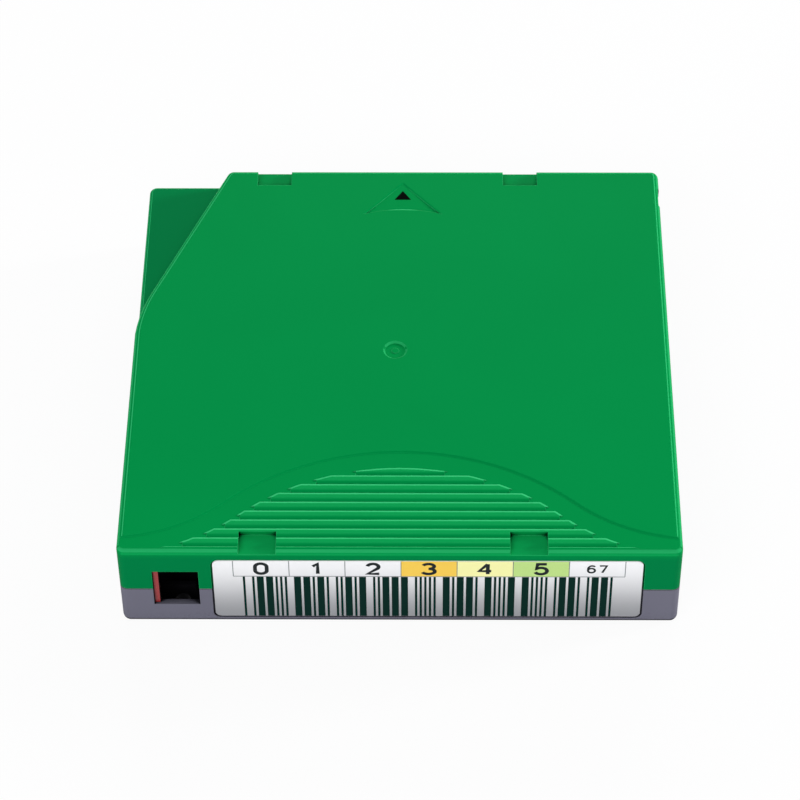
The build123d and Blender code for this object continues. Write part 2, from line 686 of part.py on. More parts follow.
def lower_shell():
    """Grey lower moulding."""
    shell = prism(case_plan(), 0, SEAM_Z)
    shell = fillet(shell.faces().sort_by(Axis.Z)[0].edges(), EDGE_R)
    shell -= prism(case_plan(WALL), FLOOR, SEAM_Z)
    shell -= seam_groove(SEAM_Z - SEAM_GROOVE, SEAM_Z + 1)

    shell += disc(OPENING_R + OPENING_RIM, FLOOR - FUSE, REEL_Z)
    shell -= disc(OPENING_R, -1, REEL_Z + 1)
    for x, y in SCREW_PLACES:
        shell += disc(POST_RADIUS, 0, SEAM_Z, x, y)
        shell -= disc(SCREW_HEAD_R + SCREW_HEAD_CLEAR, -1, SCREW_SEAT_Z, x, y)
        shell -= disc(SCREW_R + SCREW_CLEAR, -1, SEAM_Z + 1, x, y)

    for side, slot in ((1, 0), (-1, LOCATOR_SLOT)):
        place = Pos(REEL_X + side * LOCATOR_SPACING / 2, LOCATOR_Y, 0)
        post_top = LOCATOR_DEPTH + LOCATOR_WALL
        shell += place * locator_hole(LOCATOR_R + LOCATOR_WALL, FLOOR - FUSE, post_top, slot)
        shell -= place * locator_hole(LOCATOR_R, -1, LOCATOR_DEPTH, slot)

    board_end = HALF_W - BOARD_CORNER_GAP
    shell += board_prop(board_end - BOARD_W + PROP_INSET)
    shell += board_prop(board_end - PROP_INSET - PROP_T)
    shell += reel_guards()
    shell += pin_pocket(FLOOR - FUSE, FLOOR + PIN_FLANGE_T + KEY_GAP)
    shell += block(-INNER_X - FUSE, SENSE_X + SENSE_R + PROP_T, FOOT_BACK + SWITCH_GAP,
                   FOOT_BACK + SWITCH_GAP + PROP_T, FLOOR - FUSE, FLOOR + 2 * SWITCH_FOOT_T)
    shell += spring_stop()

    for side in (-1, 1):
        shell += grip_pad(side)
        shell -= grip_notch(side)
    shell -= disc(SENSE_R, -1, FLOOR + 1, SENSE_X, SENSE_Y)
    shell -= [window_cut(), label_recess(), door_cut()]
    return shell


def spring_axis_x():
    """The door spring runs in the space behind the door."""
    return DOOR_OUT - DOOR_SPRING_R - DOOR_SPRING_WIRE_R


def spring_stop():
    """Wall with a short rod that the door spring pushes against."""
    half = DOOR_SPRING_R + DOOR_SPRING_WIRE_R
    x = spring_axis_x()
    wall = block(x - half, INNER_X + FUSE, DOOR_SPRING_Y - DOOR_STOP_T, DOOR_SPRING_Y, FLOOR - FUSE,
                 DOOR_SPRING_Z + half)
    rod = Pos(x, DOOR_SPRING_Y, DOOR_SPRING_Z) * Rot(-90, 0, 0) * disc(DOOR_ROD_R, -FUSE, DOOR_ROD_L, 0, 0)
    return [wall, rod]


def case_screws():
    """Four self-tapping screws with cross recesses, heads down."""
    head_z = SCREW_SEAT_Z - SCREW_HEAD_T
    head = disc(SCREW_HEAD_R, head_z, SCREW_SEAT_Z, 0, 0)
    head = chamfer(head.edges().sort_by(Axis.Z)[0], SCREW_CHAMFER)
    shank = disc(SCREW_R, SCREW_SEAT_Z, SCREW_END_Z - SCREW_R, 0, 0)
    point = Pos(0, 0, SCREW_END_Z - SCREW_R) * Cone(
        SCREW_R, SCREW_R / 3, SCREW_R, align=(Align.CENTER, Align.CENTER, Align.MIN))
    slot = block(-SCREW_RECESS_L / 2, SCREW_RECESS_L / 2, -SCREW_RECESS_W / 2, SCREW_RECESS_W / 2,
                 head_z - 1, head_z + SCREW_RECESS_D)
    screw = head + shank + point - slot - Rot(0, 0, 90) * slot
    return Compound(children=[Pos(x, y, 0) * screw for x, y in SCREW_PLACES])


def barcode_label():
    """Thin label in its recess."""
    back = -HALF_L + LABEL_RECESS
    return front_panel(LABEL_X0, LABEL_X1, LABEL_LOW_GAP, LABEL_Z1, LABEL_R, back - LABEL_T, back)


def write_protect_switch():
    """Slide with a finger rib in the window and a foot that covers the sense hole."""
    plate = block(SWITCH_X, SWITCH_RIGHT, SWITCH_FRONT, SWITCH_BACK, WINDOW_Z - SWITCH_LAP,
                  WINDOW_TOP + SWITCH_LAP)
    rib = block(WINDOW_X + SWITCH_GAP, SWITCH_RIGHT, -HALF_L + SWITCH_RIB_SINK, SWITCH_FRONT,
                WINDOW_Z + SWITCH_GAP, WINDOW_TOP - SWITCH_GAP)
    web = block(SWITCH_X, WINDOW_X, FOOT_FRONT, SWITCH_BACK, FLOOR, WINDOW_Z)
    foot = block(SWITCH_X, WINDOW_X, FOOT_FRONT, FOOT_BACK, FLOOR, FLOOR + SWITCH_FOOT_T)
    return plate + rib + web + foot


def board_place():
    """Frame of the leaning memory board: local X along the case, local Y down the slope, Z inwards."""
    middle_x = HALF_W - BOARD_CORNER_GAP - BOARD_W / 2
    middle = (middle_x, BOARD_FOOT_Y + BOARD_RISE / 2, BOARD_Z + BOARD_RISE / 2)
    return Plane(origin=middle, x_dir=(1, 0, 0), z_dir=(0, 1, 1))


def on_board(shape, height):
    """Move a shape onto the board's inner face, at a height above it."""
    return board_place() * Pos(0, 0, height) * shape


def memory_board():
    """Small circuit board, at 45 degrees in the corner."""
    return on_board(extrude(RectangleRounded(BOARD_W, BOARD_L, BOARD_R), amount=BOARD_T), 0)


def memory_antenna():
    """Flat copper loop on the board."""
    outer = RectangleRounded(BOARD_W - 2 * ANTENNA_EDGE, BOARD_L - 2 * ANTENNA_EDGE, ANTENNA_R)
    inset = ANTENNA_EDGE + ANTENNA_W
    inner = RectangleRounded(BOARD_W - 2 * inset, BOARD_L - 2 * inset, ANTENNA_R / 2)
    return on_board(extrude(outer - inner, amount=ANTENNA_T), BOARD_T)


def memory_chip():
    """Chip under a square black cap."""
    chip = Box(CHIP_SIZE, CHIP_SIZE, CHIP_T, align=(Align.CENTER, Align.CENTER, Align.MIN))
    return on_board(chamfer(chip.faces().sort_by(Axis.Z)[-1].edges(), CHIP_CHAMFER), BOARD_T)


def leader_pin():
    """Turned pin with a flange at each end."""
    pin = disc(PIN_R, FLOOR, PIN_TOP, PIN_X, PIN_Y)
    for z in (FLOOR, PIN_TOP - PIN_FLANGE_T):
        flange = disc(PIN_FLANGE_R, z, z + PIN_FLANGE_T, PIN_X, PIN_Y)
        pin += chamfer(flange.edges().filter_by(GeomType.CIRCLE), PIN_CHAMFER)
    return pin


def leader_geometry():
    """Direction from each centre to the tape run, which touches roll and pin on the same side."""
    across = hypot(PIN_X - REEL_X, PIN_Y)
    bearing = degrees(atan2(PIN_Y, PIN_X - REEL_X))
    roll_r = TAPE_R + LEADER_OFF
    opening = degrees(acos((roll_r - PIN_R) / across))
    return bearing - opening, roll_r


def tape_leader():
    """Free run of tape from the roll to the pin, and its turn round the pin."""
    angle, roll_r = leader_geometry()

    def at(x, y, radius, turn=0.0):
        way = radians(angle + turn)
        return x + radius * cos(way), y + radius * sin(way)

    def turn_round_pin(radius, start, end):
        ends = [at(PIN_X, PIN_Y, radius, turn) for turn in (start, (start + end) / 2, end)]
        return ThreePointArc(*ends)

    outer_arc = turn_round_pin(PIN_R + LEADER_T, 0, LEADER_WRAP)
    inner_arc = turn_round_pin(PIN_R, LEADER_WRAP, 0)
    start_out = at(REEL_X, 0, roll_r + LEADER_T)
    start_in = at(REEL_X, 0, roll_r)
    outline = make_face([
        Line(start_out, outer_arc @ 0), outer_arc, Line(outer_arc @ 1, inner_arc @ 0), inner_arc,
        Line(inner_arc @ 1, start_in), Line(start_in, start_out)])
    return prism(outline, TAPE_Z, TAPE_TOP)


def leader_pin_clip():
    """C-shaped clip that grips the tape's turn round the pin."""
    angle, _ = leader_geometry()
    inner = PIN_R + LEADER_T
    return sector(inner, inner + CLIP_T, TAPE_Z + CLIP_SHORT, TAPE_TOP - CLIP_SHORT, angle + CLIP_FROM,
                  angle + CLIP_TO, PIN_X, PIN_Y)


def pin_retainer_springs():
    """Open spring rings round the pin's two flanges, open towards the door."""
    half = RETAINER_OPEN / 2
    spare = (PIN_FLANGE_T - RETAINER_H) / 2
    return Compound(children=[
        sector(PIN_FLANGE_R, POCKET_R, z + spare, z + spare + RETAINER_H, half, 360 - half, PIN_X, PIN_Y)
        for z in (FLOOR, PIN_TOP - PIN_FLANGE_T)])


def door():
    """Sliding door with a lip for the drive's opener and a rod for its spring."""
    plate = block(DOOR_IN, DOOR_OUT, DOOR_BACK, DOOR_FRONT, FLOOR - DOOR_GROOVE + DOOR_GAP,
                  CEILING_Z + DOOR_GROOVE - DOOR_GAP)
    lip = block(DOOR_OUT, HALF_W - DOOR_LIP_SINK, DOOR_Y_END - DOOR_LIP_W, DOOR_Y_END, FLOOR + DOOR_HEAD,
                CEILING_Z - 2 * DOOR_HEAD)
    x = spring_axis_x()
    half = DOOR_SPRING_R + DOOR_SPRING_WIRE_R
    heel = block(x - half, DOOR_OUT, DOOR_BACK, DOOR_BACK + DOOR_STOP_T, DOOR_SPRING_Z - half,
                 DOOR_SPRING_Z + half)
    rod = Pos(x, DOOR_BACK, DOOR_SPRING_Z) * Rot(90, 0, 0) * disc(DOOR_ROD_R, -FUSE, DOOR_ROD_L, 0, 0)
    return plate + lip + heel + rod


def door_spring():
    """Long thin spring that keeps the door shut."""
    spring = coil(DOOR_SPRING_R, DOOR_SPRING_WIRE_R, DOOR_SPRING_L, DOOR_SPRING_TURNS)
    return Pos(spring_axis_x(), DOOR_SPRING_Y, DOOR_SPRING_Z) * Rot(-90, 0, 0) * spring


def reel_hub():
    """Hub, lower flange, drive teeth and brake teeth in one moulding."""
    profile = Polygon((0, REEL_Z), (HUB_R, REEL_Z), (FLANGE_R, LOWER_FLANGE_TOP - FLANGE_EDGE_T),
                      (FLANGE_R, LOWER_FLANGE_TOP), (HUB_R, LOWER_FLANGE_TOP), (HUB_R, UPPER_FLANGE_Z),
                      (HUB_IN_R, UPPER_FLANGE_Z), (HUB_IN_R, HUB_FLOOR_TOP), (0, HUB_FLOOR_TOP), align=None)
    hub = Pos(REEL_X, 0, 0) * revolve(Plane.XZ * profile, axis=Axis.Z)
    hub += ring(BRAKE_IN_R, BRAKE_OUT_R, HUB_FLOOR_TOP - TOOTH_SINK, BRAKE_ROOT_Z)
    hub += disc(PIVOT_R, HUB_FLOOR_TOP - TOOTH_SINK, HUB_FLOOR_TOP + PIVOT_H)
    slot = block(BRAKE_IN_R - 1, BRAKE_OUT_R + 1, -ARM_W / 2 - ARM_GAP, ARM_W / 2 + ARM_GAP, HUB_FLOOR_TOP,
                 BRAKE_ROOT_Z + 1)
    hole = disc(LEG_R + LEG_GAP, REEL_Z - 1, HUB_FLOOR_TOP + 1, LEG_R_FROM_AXIS, 0)
    places = [Pos(REEL_X, 0, 0) * Rot(0, 0, turn) for turn in LEG_ANGLES]
    hub -= [place * slot for place in places]
    hub -= [place * hole for place in places]
    hub += [place * Rot(0, 0, 180 / LEG_COUNT) * stake() for place in places]
    leg_gap = TEETH_LEFT_OUT * 180 / TOOTH_COUNT
    drive = face_teeth(DRIVE_IN_R, DRIVE_OUT_R, REEL_Z, -DRIVE_TOOTH_H, (DRIVE_ROOT_SHARE, DRIVE_TIP_SHARE),
                       gap_half_angle=leg_gap)
    brake = face_teeth(BRAKE_IN_R, BRAKE_OUT_R, BRAKE_ROOT_Z, BRAKE_TOOTH_H,
                       (BRAKE_ROOT_SHARE, BRAKE_TIP_SHARE), gap_half_angle=leg_gap)
    hub += drive + brake
    return hub


def stake():
    """Moulded pin, headed over, that holds the steel plate."""
    pin = disc(STAKE_R, REEL_Z - PLATE_T, REEL_Z + TOOTH_SINK, STAKE_PITCH_R, 0)
    return pin + disc(STAKE_HEAD_R, REEL_Z - PLATE_T - STAKE_HEAD_T, REEL_Z - PLATE_T, STAKE_PITCH_R, 0)


def reel_plate():
    """Steel plate under the hub that a drive's magnet pulls on."""
    plate = ring(PLATE_HOLE_R, DRIVE_IN_R - PLATE_GAP, REEL_Z - PLATE_T, REEL_Z)
    for turn in LEG_ANGLES:
        place = Pos(REEL_X, 0, 0) * Rot(0, 0, turn + 180 / LEG_COUNT)
        plate -= place * disc(STAKE_R, 0, REEL_Z + 1, STAKE_PITCH_R, 0)
    return plate


def reel_upper_flange():
    """Upper flange, with a spigot inside the hub."""
    inner = HUB_IN_R - SPIGOT_T
    profile = Polygon((inner, UPPER_FLANGE_Z - SPIGOT_H), (HUB_IN_R, UPPER_FLANGE_Z - SPIGOT_H),
                      (HUB_IN_R, UPPER_FLANGE_Z), (FLANGE_R, UPPER_FLANGE_Z),
                      (FLANGE_R, UPPER_FLANGE_Z + FLANGE_EDGE_T), (HUB_R, UPPER_FLANGE_TOP),
                      (inner, UPPER_FLANGE_TOP), align=None)
    return Pos(REEL_X, 0, 0) * revolve(Plane.XZ * profile, axis=Axis.Z)


def tape_pack():
    """Wound tape as one solid."""
    return ring(HUB_R, TAPE_R, TAPE_Z, TAPE_TOP)


def brake_button():
    """Toothed disc with a post that the shell's key holds against turning."""
    button = disc(BRAKE_OUT_R + PLATE_GAP, BUTTON_Z, BUTTON_TOP)
    button += disc(POST_R, BUTTON_TOP - FUSE, POST_TOP)
    button += disc(BOSS_R, SPIDER_TOP, BUTTON_Z + FUSE)
    half_pitch = 180 / TOOTH_COUNT
    button += face_teeth(BRAKE_IN_R, BRAKE_OUT_R, BUTTON_Z, -BRAKE_TOOTH_H,
                         (BRAKE_ROOT_SHARE, BRAKE_TIP_SHARE), half_pitch)
    slot_floor = KEY_Z - BRAKE_LIFT - KEY_GAP
    return button - brake_key(KEY_W + 2 * KEY_GAP, KEY_R + KEY_GAP, slot_floor, POST_TOP + 1)


def brake_spider():
    """Three-armed release with legs that end between the drive teeth."""
    spider = disc(BOSS_R, HUB_FLOOR_TOP, SPIDER_TOP)
    arm = block(0, LEG_R_FROM_AXIS, -ARM_W / 2, ARM_W / 2, HUB_FLOOR_TOP, HUB_FLOOR_TOP + ARM_T)
    arm += disc(ARM_W / 2, HUB_FLOOR_TOP, HUB_FLOOR_TOP + ARM_T, LEG_R_FROM_AXIS, 0)
    leg = disc(LEG_R, DRIVE_TIP_Z + LEG_SHORT, HUB_FLOOR_TOP + ARM_T, LEG_R_FROM_AXIS, 0)
    for turn in LEG_ANGLES:
        spider += Pos(REEL_X, 0, 0) * Rot(0, 0, turn) * (arm + leg)
    return spider - disc(PIVOT_R + LEG_GAP, 0, HUB_FLOOR_TOP + PIVOT_H + LEG_SHORT)


def brake_spring():
    """Spring between the roof and the brake button."""
    spring = coil(SPRING_R, SPRING_WIRE_R, CEILING_Z - BUTTON_TOP, SPRING_TURNS)
    return Pos(REEL_X, 0, BUTTON_TOP) * spring


PIECES = {
    "upper_shell": upper_shell,
    "lower_shell": lower_shell,
    "case_screws": case_screws,
    "barcode_label": barcode_label,
    "write_protect_switch": write_protect_switch,
    "memory_board": memory_board,
    "memory_antenna": memory_antenna,
    "memory_chip": memory_chip,
    "leader_pin": leader_pin,
    "leader_pin_clip": leader_pin_clip,
    "pin_retainer_springs": pin_retainer_springs,
    "tape_leader": tape_leader,
    "door": door,
    "door_spring": door_spring,
    "reel_hub": reel_hub,
    "reel_upper_flange": reel_upper_flange,
    "reel_plate": reel_plate,
    "tape_pack": tape_pack,
    "brake_button": brake_button,
    "brake_spider": brake_spider,
    "brake_spring": brake_spring,
}

os.makedirs("parts", exist_ok=True)
for name, make in PIECES.items():
    export_step(make(), f"parts/{name}.step")
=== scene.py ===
import json
from math import cos, radians, sin

import bpy
import bmesh
from mathutils import Matrix, Vector


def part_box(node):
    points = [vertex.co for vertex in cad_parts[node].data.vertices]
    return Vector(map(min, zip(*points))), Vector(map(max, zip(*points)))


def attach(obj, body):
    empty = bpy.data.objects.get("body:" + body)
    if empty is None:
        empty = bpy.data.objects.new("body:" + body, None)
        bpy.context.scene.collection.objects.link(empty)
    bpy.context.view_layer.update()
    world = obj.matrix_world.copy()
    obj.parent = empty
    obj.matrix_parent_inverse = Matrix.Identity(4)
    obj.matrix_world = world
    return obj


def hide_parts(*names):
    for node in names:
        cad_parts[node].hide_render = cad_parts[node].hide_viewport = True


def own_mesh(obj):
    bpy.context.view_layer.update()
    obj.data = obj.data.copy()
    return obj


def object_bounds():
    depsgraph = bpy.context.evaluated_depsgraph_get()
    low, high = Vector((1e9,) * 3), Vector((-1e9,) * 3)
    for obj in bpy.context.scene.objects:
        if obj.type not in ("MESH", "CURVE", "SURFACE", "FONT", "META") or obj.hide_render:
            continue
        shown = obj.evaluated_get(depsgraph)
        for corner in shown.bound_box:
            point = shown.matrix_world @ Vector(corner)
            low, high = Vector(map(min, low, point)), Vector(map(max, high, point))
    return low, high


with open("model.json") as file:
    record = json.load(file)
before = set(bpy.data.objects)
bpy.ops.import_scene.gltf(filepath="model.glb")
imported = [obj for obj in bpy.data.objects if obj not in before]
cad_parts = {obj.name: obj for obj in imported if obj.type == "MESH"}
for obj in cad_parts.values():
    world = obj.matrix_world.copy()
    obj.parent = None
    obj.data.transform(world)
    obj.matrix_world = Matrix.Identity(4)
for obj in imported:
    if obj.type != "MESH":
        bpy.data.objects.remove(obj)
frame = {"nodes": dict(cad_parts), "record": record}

CAD_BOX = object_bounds()
MM = 0.001

# Places of a Mix node's sockets for colours
MIX_SHARE = 0
MIX_FIRST = 6
MIX_SECOND = 7
MIX_RESULT = 2

# Camera, as the photograph is taken: square frame, in pixels, millimetres and degrees
FRAME_PIXELS = 800
FOCAL_PIXELS = 3153
SENSOR_MM = 36.0
CAMERA_TARGET_MM = (-0.3, -3.6, 10.75)
CAMERA_DISTANCE_MM = 624.0
CAMERA_PITCH = 47.8
CAMERA_YAW = -0.8
CAMERA_ROLL = -0.5
CAMERA_CLIP_START_MM = 50.0

# Studio, in metres
FLOOR_SIZE = 6.0
FLOOR_DROP = 0.0002
FLOOR_COLOUR = (246, 246, 248)
FLOOR_ROUGHNESS = 0.9
FLOOR_WHITE_SHARE = 0.93
WORLD_STRENGTH = 0.27
WHITE = (1.0, 1.0, 1.0, 1.0)

# What the shared effects of the mouldings are given, with lengths in metres: fine grain and flow marks, the
# rounding of sharp edges and its patches, and how open a surface is where painted shade makes it dark and
# where it keeps its full colour. Then the rays that are cast to find edges and gaps, and how sharply and
# unevenly the edges are lightened by wear and a painted highlight.
MOULD_GRAIN = {"Grain per metre": 3600.0, "Flow per metre": 26.0}
SHARP_EDGE = {"Width": 0.0002, "Patch per metre": 900.0}
GAP_SHADE_SETTINGS = {"Reach": 0.05, "Dark below": 0.35, "Full above": 0.5}
RAY_SAMPLES = 8
EDGE_CONTRAST = 5.0
EDGE_PATCHES = (0.5, 1.3)

# Mouldings: relief of the grain, contrast of the flow marks, change of roughness, painted shade in gaps, and
# gloss of the two shells
GRAIN_STRENGTH = 0.55
GRAIN_DEPTH = 0.00002
FLOW_CONTRAST = 0.05
ROUGHNESS_CHANGE = 0.06
GAP_SHADE = 0.02
SHELL_GLOSS = 0.012

# Painted highlight at an upward share of the normal: rounded edges, then the eased edges of ribs and arrow.
# The arrow's flanks get none: share of their normal along Y, and how far it may differ.
HIGHLIGHTED_SLOPES = ((0.3, 0.0), (0.42, 0.5), (0.76, 0.5), (0.82, 0.0), (0.935, 0.0), (0.945, 1.0),
                 (0.972, 1.0), (0.985, 0.0))
UNHIGHLIGHTED_FACING = (-0.2, 0.1)

# Depths below the top over which painted shade darkens the shell's walls and guide step, in millimetres
WALL_SHADE_DEPTHS = (0.5, 3.0)

# Painted highlight on the upper shell's rib tops and notch seats, in millimetres: distances behind the label
# face at shares of the half width, and depths below the top of the rib tops and the notch seats
GRIP_REACH = 25.0
GRIP_LINE = ((0.0, 21.5), (0.123, 21.1), (0.279, 19.0), (0.376, 17.0), (0.448, 15.0), (0.558, 11.0),
             (0.651, 7.0), (0.791, 3.0), (0.949, 0.5), (1.0, 0.0))
GRIP_TOP_DEPTH = 0.13
GRIP_SEAT_DEPTH = 0.95
GRIP_SEAT_END = 1.5
GRIP_HIGHLIGHT_SHARE = 0.85

# Metals: streaks over a metre, shade of the dull ones, and how far they lower and raise the roughness
STREAKS_PER_METRE = 900.0
DULL_STREAK = 0.82
STREAK_ROUGHNESS = (0.08, 0.1)

# Label film on screen, at its lower edge with painted shade and at its upper edge, and the grey and share of
# its fibres
SHADED_FILM_FOOT = (149, 150, 154)
FILM_HEAD = (254, 254, 255)
FIBRE_GREY = 0.6
FIBRE_SHARE = 0.04

# Inks on screen, with the brighter share where they lie thin, their gloss and their range of roughness
INKS = {
    "line_ink": (120, 126, 128),
    "bar_ink": (13, 43, 37),
    "digit_ink": (42, 47, 48),
    "arrow_ink": (0, 4, 1),
    "orange_ink": (255, 207, 90),
    "yellow_ink": (255, 252, 175),
    "lime_ink": (192, 224, 138),
}
THIN_INK = 1.12
INK_GLOSS = 0.01
INK_ROUGHNESS = (0.6, 0.7)

# Label print, in millimetres on the label's face
PRINT_LIFT = 0.012
LAYER_LIFT = 0.004
PRINT_THICKNESS = 0.02
CELL_COUNT = 7
CELL_PITCH = 10.467
CELL_FIRST_X = -31.13
CELL_FLOOR_Z = 13.7
CELL_LINE = 0.14
LABEL_INSET = 0.06
TINTED_CELLS = {3: "orange_ink", 4: "yellow_ink", 5: "lime_ink"}

# Digits of the cells, in millimetres, with the turn between points of a round stroke in degrees
CELL_DIGITS = ("0", "1", "2", "3", "4", "5", "67")
DIGIT_SIZE = (3.0, 3.65)
DIGIT_STROKE = 0.72
SMALL_DIGIT_SIZE = (1.75, 2.4)
SMALL_DIGIT_STROKE = 0.4
SMALL_DIGIT_GAP = 0.45
ARC_STEP = 12
MITRE_LIMIT = 1.5

# Bars: their ends in millimetres, and the width of a wide bar or gap in thin ones. Each digit has five bars
# with these weights; its two wide ones add up to it, or to a sum of their own for zero. One of its gaps is
# wide.
BAR_START_X = -29.4
BAR_END_X = 39.9
WIDE_BAR = 3
BAR_WEIGHTS = (1, 2, 4, 7, 0)
BAR_ZERO_SUM = 11
WIDE_GAP_PLACE = 1

# Printed arrow on top, in millimetres, on the sunk floor of the moulded one: its outline, and the place and
# depth of the floor's two ends
ARROW_TIP = (0.0, 44.8)
ARROW_BASE_Y = 42.3
ARROW_HALF_WIDTH = 1.7
ARROW_FLOOR = ((46.8, 0.1), (38.2, 0.3))
ARROW_INK_HEIGHT = 0.02


def linear(red, green, blue):
    """Screen colour, 0 to 255, as a linear colour."""
    def channel(value):
        share = value / 255
        return share / 12.92 if share <= 0.04045 else ((share + 0.055) / 1.055) ** 2.4
    return (channel(red), channel(green), channel(blue), 1.0)


def grey(level):
    """Linear grey of one level."""
    return (level, level, level, 1.0)


def shade(colour, share):
    """Colour made darker or lighter."""
    return tuple(min(channel * share, 1.0) for channel in colour[:3]) + (1.0,)


class Shader:
    """Short calls for one node tree."""

    def __init__(self, tree):
        self.tree = tree

    def feed(self, socket, value):
        """Give an input its value, or join an output to it."""
        if isinstance(value, bpy.types.NodeSocket):
            self.tree.links.new(value, socket)
        else:
            socket.default_value = value

    def node(self, kind, inputs=None, **settings):
        """New node, with its settings and what feeds its inputs."""
        made = self.tree.nodes.new(kind)
        for key, value in settings.items():
            setattr(made, key, value)
        for key, value in (inputs or {}).items():
            self.feed(made.inputs[key], value)
        return made

    def place(self):
        """Where each point of the surface is, in metres."""
        return self.node("ShaderNodeTexCoord").outputs["Object"]

    def normal(self):
        """Which way the surface faces."""
        return self.node("ShaderNodeNewGeometry").outputs["Normal"]

    def axes(self, vector):
        """The X, Y and Z of a vector."""
        return self.node("ShaderNodeSeparateXYZ", {"Vector": vector}).outputs

    def math(self, operation, first, second=0.0, clamp=False):
        """Sum, product or other operation on one or two values."""
        made = self.node("ShaderNodeMath", {0: first, 1: second}, operation=operation, use_clamp=clamp)
        return made.outputs["Value"]

    def vector_math(self, operation, first, second=(0.0, 0.0, 0.0)):
        """Outputs of an operation on one or two vectors."""
        return self.node("ShaderNodeVectorMath", {0: first, 1: second}, operation=operation).outputs

    def noise(self, vector, scale, detail, roughness, distortion=0.0):
        """Noise over a vector, from 0 to 1."""
        made = self.node("ShaderNodeTexNoise", {"Vector": vector, "Scale": scale, "Detail": detail,
                                                "Roughness": roughness, "Distortion": distortion})
        return made.outputs["Fac"]

    def mix(self, share, first, second):
        """Blend of two colours."""
        made = self.node("ShaderNodeMix", {MIX_SHARE: share, MIX_FIRST: first, MIX_SECOND: second},
                         data_type="RGBA")
        return made.outputs[MIX_RESULT]

    def spread(self, value, low, high):
        """Value from 0 to 1, stretched to a range."""
        made = self.node("ShaderNodeMapRange", {"Value": value, "To Min": low, "To Max": high})
        return made.outputs["Result"]

    def fade(self, value, start, end):
        """0 up to the start, then a smooth rise to 1 at the end."""
        made = self.node("ShaderNodeMapRange", {"Value": value, "From Min": start, "From Max": end},
                         interpolation_type="SMOOTHSTEP")
        return made.outputs["Result"]

    def ramp(self, value, steps):
        """Level of each step of a value, blended in between."""
        made = self.node("ShaderNodeValToRGB", {"Fac": value})
        stops = made.color_ramp.elements
        for place, (position, level) in enumerate(steps):
            stop = stops[place] if place < len(stops) else stops.new(position)
            stop.position = position
            stop.color = grey(level)
        return made.outputs["Color"]

    def group(self, tree, values):
        """Outputs of a node group with its own values."""
        return self.node("ShaderNodeGroup", values, node_tree=tree).outputs


def new_group(name, inputs, outputs):
    """Empty node group with named inputs, all numbers, and named outputs of given kinds."""
    tree = bpy.data.node_groups.new(name, "ShaderNodeTree")
    for label in inputs:
        tree.interface.new_socket(name=label, in_out="INPUT", socket_type="NodeSocketFloat")
    for label, kind in outputs.items():
        tree.interface.new_socket(name=label, in_out="OUTPUT", socket_type=kind)
    shader = Shader(tree)
    return tree, shader, shader.node("NodeGroupInput").outputs, shader.node("NodeGroupOutput").inputs


def moulded_grain_group():
    """Fine spark-eroded grain of a mould, with faint flow marks."""
    tree, shader, given, result = new_group(
        "moulded_grain", MOULD_GRAIN, {"Grain": "NodeSocketFloat", "Flow": "NodeSocketFloat"})
    place = shader.place()
    fine = shader.noise(place, given["Grain per metre"], detail=3.0, roughness=0.62)
    broad = shader.noise(place, given["Flow per metre"], detail=2.0, roughness=0.5, distortion=0.6)
    shader.feed(result["Grain"], fine)
    shader.feed(result["Flow"], broad)
    return tree


def rounded_edge_group():
    """Normal rounding each sharp edge, and a patchy edge mask for wear and a painted highlight."""
    tree, shader, given, result = new_group(
        "rounded_edge", SHARP_EDGE, {"Edge": "NodeSocketFloat", "Normal": "NodeSocketVector"})
    bevel = shader.node("ShaderNodeBevel", {"Radius": given["Width"]}, samples=RAY_SAMPLES)
    rounded = bevel.outputs["Normal"]
    level = shader.vector_math("DOT_PRODUCT", rounded, shader.normal())["Value"]
    sharp = shader.math("MULTIPLY", shader.math("SUBTRACT", 1.0, level), EDGE_CONTRAST, clamp=True)
    patches = shader.noise(shader.place(), given["Patch per metre"], detail=3.0, roughness=0.6)
    broken = shader.math("MULTIPLY", sharp, shader.spread(patches, *EDGE_PATCHES), clamp=True)
    shader.feed(result["Edge"], broken)
    shader.feed(result["Normal"], rounded)
    return tree


def painted_gap_shade_group():
    """Painted shade mask: 1 on open surfaces, falling to 0 deep inside a gap or opening, where colour
    darkens.
    """
    tree, shader, given, result = new_group("painted_gap_shade", GAP_SHADE_SETTINGS, {"Open": "NodeSocketFloat"})
    seen = shader.node("ShaderNodeAmbientOcclusion", {"Distance": given["Reach"]}, samples=RAY_SAMPLES)
    shader.feed(result["Open"], shader.fade(seen.outputs["AO"], given["Dark below"], given["Full above"]))
    return tree


GRAIN = moulded_grain_group()
EDGE = rounded_edge_group()
GAP_SHADE_TREE = painted_gap_shade_group()


def new_material(name):
    """Material with an empty Principled shader."""
    material = bpy.data.materials.new(name)
    material.use_nodes = True
    return material, Shader(material.node_tree), material.node_tree.nodes["Principled BSDF"]


def finish_surface(shader, surface, colour, roughness, relief, strength, depth, normal=None):
    """Feed a surface its colour, roughness and small relief, over its own or a rounded normal."""
    bump = shader.node("ShaderNodeBump", {"Height": relief, "Strength": strength, "Distance": depth})
    if normal:
        shader.feed(bump.inputs["Normal"], normal)
    shader.feed(surface.inputs["Base Color"], colour)
    shader.feed(surface.inputs["Roughness"], roughness)
    shader.feed(surface.inputs["Normal"], bump.outputs["Normal"])


def depth_below_top(shader, height):
    """How far a height lies below the top of the case."""
    return shader.math("SUBTRACT", CAD_BOX[1][2], height)


def painted_wall_shade(shader):
    """Painted shade mask: 0 on the top of the case, rising to 1 down its walls."""
    start, end = (depth * MM for depth in WALL_SHADE_DEPTHS)
    return shader.fade(depth_below_top(shader, shader.axes(shader.place())["Z"]), start, end)


def painted_slope_highlight(shader):
    """Painted highlight on rounded and eased edges, by how far they face up; the arrow's flanks get none."""
    facing = shader.axes(shader.normal())
    middle, half = UNHIGHLIGHTED_FACING
    apart = shader.math("ABSOLUTE", shader.math("SUBTRACT", facing["Y"], middle))
    elsewhere = shader.math("GREATER_THAN", apart, half)
    return shader.math("MULTIPLY", shader.ramp(facing["Z"], HIGHLIGHTED_SLOPES), elsewhere)


